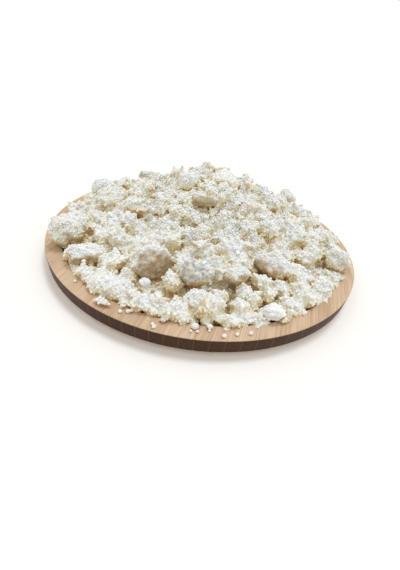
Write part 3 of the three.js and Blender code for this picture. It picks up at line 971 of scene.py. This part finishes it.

# Each lump's relief (its knobs' size and depth, its curds' depth), the way its
# broken face looks, mostly away from the light, how strong its damp tan and painted
# shade are, and whether it carries grains.
LUMPS = {
    "lump_front_round": ((5, 1.5, 1.9), (0.15, -0.35, -0.92), 0.5, False),
    "lump_front_slab": ((13, 2.4, 0.9), (0.3, -0.93, -0.2), 1.1, True),
    "lump_right_block": ((11, 3.4, 0.9), (-0.80, -0.59, 0.0), 0.8, True),
    "lump_left_rim": ((9, 5.0, 1.4), (0.1, -0.6, -0.78), 0.8, True),
    "lump_left_long": ((9, 5.0, 1.4), (0.0, -0.85, -0.5), 0.8, True),
    "lump_front_low": ((8, 3.4, 1.3), (0.0, -0.6, -0.8), 0.7, True),
    "lump_front_white": ((7, 3.2, 1.9), (0.3, -0.4, -0.86), 0.3, False),
    "lump_right_rim": ((9, 4.4, 1.2), (0.0, -0.7, -0.7), 0.6, True),
    "lump_front_centre": ((8, 4.0, 1.2), (0.1, -0.8, -0.5), 0.8, True),
    "lump_small_smooth": ((5, 1.2, 0.8), (0.0, -0.5, -0.86), 0.5, False),
    "lump_back_left": ((8, 2.0, 0.8), (0.3, -0.6, -0.7), 0.4, True),
    "lump_shoulder": ((8, 2.0, 0.8), (0.2, -0.9, 0.2), 0.7, True),
    "lump_back_tall": ((8, 2.0, 0.8), (0.0, -0.8, -0.5), 0.4, True),
    "lump_back_right": ((8, 2.0, 0.8), (0.2, -0.8, -0.5), 0.4, True),
    "lump_peak": ((7, 1.6, 1.2), NO_FACE, 0.5, False),
    "lump_peak_left": ((7, 2.4, 1.2), NO_FACE, 0.5, True),
    "lump_brow": ((9, 1.2, 0.8), (-0.1, -0.95, 0.0), 0.7, True),
    "rim_crumb_cluster": ((4, 0.8, 0.9), NO_FACE, 0.3, True),
}
PALE_LUMPS = ("lump_front_white", "lump_small_smooth")
# The round lump is grey with dust and with painted shade over its face.
DUST_AND_SHADE_LUMPS = ("lump_front_round",)
# How much of its own colour the grey dust with its painted shade, or the pale skin, takes from such a lump.
SKIN = 0.8


def face_tree():
    """Stores the damp tan face with its painted shade, by how squarely each point looks the way of the lump's
    broken face, and the grey dust, partly painted shade, and the pale skin.
    """
    tree, given, result = new_tree(
        "broken_face", Face_X=0.0, Face_Y=0.0, Face_Z=-1.0, Moist=0.5, Dusty=0.0, Pale=0.0, Dry_above=1.0,
    )
    place = place_of(tree)
    even = blurred(tree, normal_of(tree), 3, "FLOAT_VECTOR")
    face = add(tree, "ShaderNodeCombineXYZ", {axis: given[f"Face {axis}"] for axis in "XYZ"}).outputs[0]
    ragged = math_node(tree, "SUBTRACT", noise(tree, place, 260.0, 3.0), 0.5)
    square = math_node(tree, "ADD", ragged, vector_node(tree, "DOT_PRODUCT", even, face, output="Value"))
    height = math_node(tree, "MULTIPLY_ADD", ragged, 9 * MM, part_of(tree, place, "Z"))
    over = math_node(tree, "DIVIDE", math_node(tree, "SUBTRACT", height, given["Dry above"]), 2 * MM)
    below = math_node(tree, "SUBTRACT", 1.0, over, clamp=True)
    share = math_node(tree, "MULTIPLY", ranged(tree, square, 0.2, 0.8), below)
    dry = math_node(tree, "SUBTRACT", 1.0, share)
    marked = with_values(
        tree, given["Geometry"], moist=math_node(tree, "MULTIPLY", share, given["Moist"]),
        dusty=math_node(tree, "MULTIPLY", dry, given["Dusty"]), pale=given["Pale"],
    )
    tree.links.new(marked, result["Geometry"])
    return tree


broken_face = face_tree()
lumps = {}
for k, (node, ((wide, knobs, swells), face, moist, carries_grains)) in enumerate(LUMPS.items()):
    low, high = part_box(node)
    piece = copied_node(node, LUMP_VOXEL, LUMP_SMOOTHING)
    apply_tree(
        piece, curd_relief, Shrink=LUMP_SHRINK, Knob_size=wide * MM, Knob_depth=knobs * MM,
        Curd_size=LUMP_CURD_SIZE, Curd_depth=swells * MM, Seed=0.1 * k + 0.03,
    )
    apply_tree(
        piece, broken_face, Face_X=face[0], Face_Y=face[1], Face_Z=face[2], Moist=moist,
        Dusty=SKIN if node in DUST_AND_SHADE_LUMPS else 0.0, Pale=SKIN if node in PALE_LUMPS else 0.0,
        Dry_above=low.z + CRUMBLY_TOP * (high.z - low.z),
    )
    apply_tree(piece, grain_relief, Grain_size=GRAIN_SIZE, Grain_depth=LUMP_GRAIN_DEPTH)
    lumps[node] = frozen(piece, node)

around = gathered("around", dish, heap, *lumps.values())
for node, lump in lumps.items():
    lumps[node] = sheltered(lump, around)
discard(around, heap)
for k, (node, lump) in enumerate(lumps.items()):
    piece = lump
    carries_grains = LUMPS[node][-1]
    if carries_grains:
        kind = {**LUMP_GRAINS, "seed": FIRST_LUMP_SEED + k}
        grains = strew(node + "_grains", lump, kind, grain_tree)
        piece = gathered(node + "_whole", lump, grains)
        discard(lump, grains)
    piece.name = "cheese_" + node
    finish_piece(piece, "cheese", node)


# -------------------------------------------------------- the fallen crumbs
# Crumbs of cheese that fell on the rim, singly and in little groups, each a
# few curds that stuck together, with grains on them.

# Their places on the rim and their widths, in mm.
FALLEN = (
    ((-114.8, -90.0), 1.2), ((-89.1, -111.0), 2.2), ((-48.5, -135.4), 2.7), ((-43.4, -134.6), 3.2),
    ((-41.0, -133.0), 3.0), ((-29.1, -138.6), 1.4), ((-23.8, -144.8), 3.3), ((-25.3, -142.4), 2.2),
    ((2.2, -140.6), 5.0), ((0.0, -144.3), 2.0), ((4.2, -143.8), 2.4), ((12.0, -138.9), 4.1),
    ((12.2, -141.7), 2.0), ((21.8, -144.8), 3.0), ((30.4, -141.9), 2.7), ((39.5, -139.4), 3.2),
    ((124.5, -62.0), 3.5), ((127.7, -57.5), 2.8), ((120.5, -65.5), 3.2), ((-137.3, -37.0), 2.7),
    ((131.0, 50.0), 2.6), ((108.0, 91.0), 3.2), ((62.0, 126.5), 2.4), ((12.0, 142.0), 3.4),
    ((-40.0, 137.0), 2.2), ((-99.0, 101.5), 3.0), ((-131.0, 55.0), 2.4), ((-140.5, 14.0), 2.0),
)
FALLEN_SHAPE = (1.0, 0.85, 0.9)
FALLEN_LIFT = 0.42
FALLEN_BEND = 3 * MM
FALLEN_BEND_DEPTH = 1.4 * MM
FALLEN_SEED = 3
FALLEN_VOXEL = 0.4 * MM
FALLEN_SMOOTHING = 1
FALLEN_GRAINS = {"size": (0.7, 1.2), "apart": 1.1, "seed": 97, "sink": 0.6, "least": -0.6}

rim_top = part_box("dish")[1].z
fallen_places = [
    ((x * MM, y * MM, rim_top + FALLEN_LIFT * width * MM), [f * width * MM for f in FALLEN_SHAPE])
    for (x, y), width in FALLEN
]
fallen = sized_points("fallen_places", fallen_places)
apply_tree(fallen, piece_tree, Bend=FALLEN_BEND, Bend_depth=FALLEN_BEND_DEPTH, Seed=FALLEN_SEED)
evened(fallen, FALLEN_VOXEL, FALLEN_SMOOTHING)
fallen = frozen(fallen, "fallen_crumbs")
on_rim = gathered("round_fallen", dish, fallen)
fallen = sheltered(fallen, on_rim)
grit = strew("fallen_grit", fallen, FALLEN_GRAINS, grain_tree)
fallen.data.materials.append(curd)
crumbs = gathered("crumbs_on_rim", fallen, grit)
discard(fallen, grit, on_rim)
finish_piece(crumbs, "cheese", "rim_crumb_cluster")


# --------------------------------------------------- the floor, light and view
# The dish stands on a plain pale floor in a bright room, with the soft light of
# a high window behind it and a little to the right. The camera looks down on it
# from close in front, as the photograph does.

FLOOR_REACH = 30
FLOOR_GREY = (0.86, 0.86, 0.86, 1)
ROOM_LIGHT = (1.0, 0.955, 0.885, 1)
ROOM_STRENGTH = 0.92
WINDOW_LIGHT = (0.98, 0.985, 1.0)
WINDOW_STRENGTH = 1.25
WINDOW_SPREAD = math.radians(18)
WINDOW_AZIMUTH = math.radians(26)
WINDOW_HEIGHT = math.radians(70)
CAMERA_PLACE = Vector((0, -266.05, 153.47)) * MM
CAMERA_RIGHT = Vector((0.99107, 0.07504, 0.11027))
CAMERA_UP = Vector((-0.13295, 0.62181, 0.77180))
CAMERA_FORWARD = Vector((0.01065, 0.77957, -0.62623))
CAMERA_NEAREST = 10 * MM
SENSOR_WIDTH = 36
LENS_PIXELS = 280
FRAME_HEIGHT = 570

floor_mesh = bmesh.new()
bmesh.ops.create_grid(floor_mesh, x_segments=1, y_segments=1, size=FLOOR_REACH)
floor = mesh_object("floor", floor_mesh)
floor.data.materials.append(new_material("pale floor", Base_Color=FLOOR_GREY, Roughness=0.9)[0])

world = bpy.data.worlds.new("room")
bpy.context.scene.world = world
world.use_nodes = True
room = world.node_tree
seen = add(room, "ShaderNodeBackground", {"Color": (1, 1, 1, 1), "Strength": 1.0})
lit = add(room, "ShaderNodeBackground", {"Color": ROOM_LIGHT, "Strength": ROOM_STRENGTH})
to_camera = add(room, "ShaderNodeLightPath").outputs["Is Camera Ray"]
both = add(room, "ShaderNodeMixShader", {0: to_camera, 1: lit.outputs[0], 2: seen.outputs[0]})
room.links.new(both.outputs[0], room.nodes["World Output"].inputs["Surface"])

window = bpy.data.lights.new("window", "SUN")
window.energy = WINDOW_STRENGTH
window.angle = WINDOW_SPREAD
window.color = WINDOW_LIGHT
towards_window = Vector((
    math.sin(WINDOW_AZIMUTH) * math.cos(WINDOW_HEIGHT), math.cos(WINDOW_AZIMUTH) * math.cos(WINDOW_HEIGHT),
    math.sin(WINDOW_HEIGHT),
))
in_scene("window", window).rotation_euler = towards_window.to_track_quat("Z", "Y").to_euler()

lens = bpy.data.cameras.new("camera")
lens.sensor_width = SENSOR_WIDTH
lens.lens = SENSOR_WIDTH * LENS_PIXELS / FRAME_HEIGHT
lens.clip_start = CAMERA_NEAREST
camera = in_scene("camera", lens)
turn = Matrix((CAMERA_RIGHT, CAMERA_UP, -CAMERA_FORWARD)).transposed()
camera.matrix_world = Matrix.Translation(CAMERA_PLACE) @ turn.to_4x4()
bpy.context.scene.camera = camera
bpy.context.scene.view_settings.view_transform = "Standard"
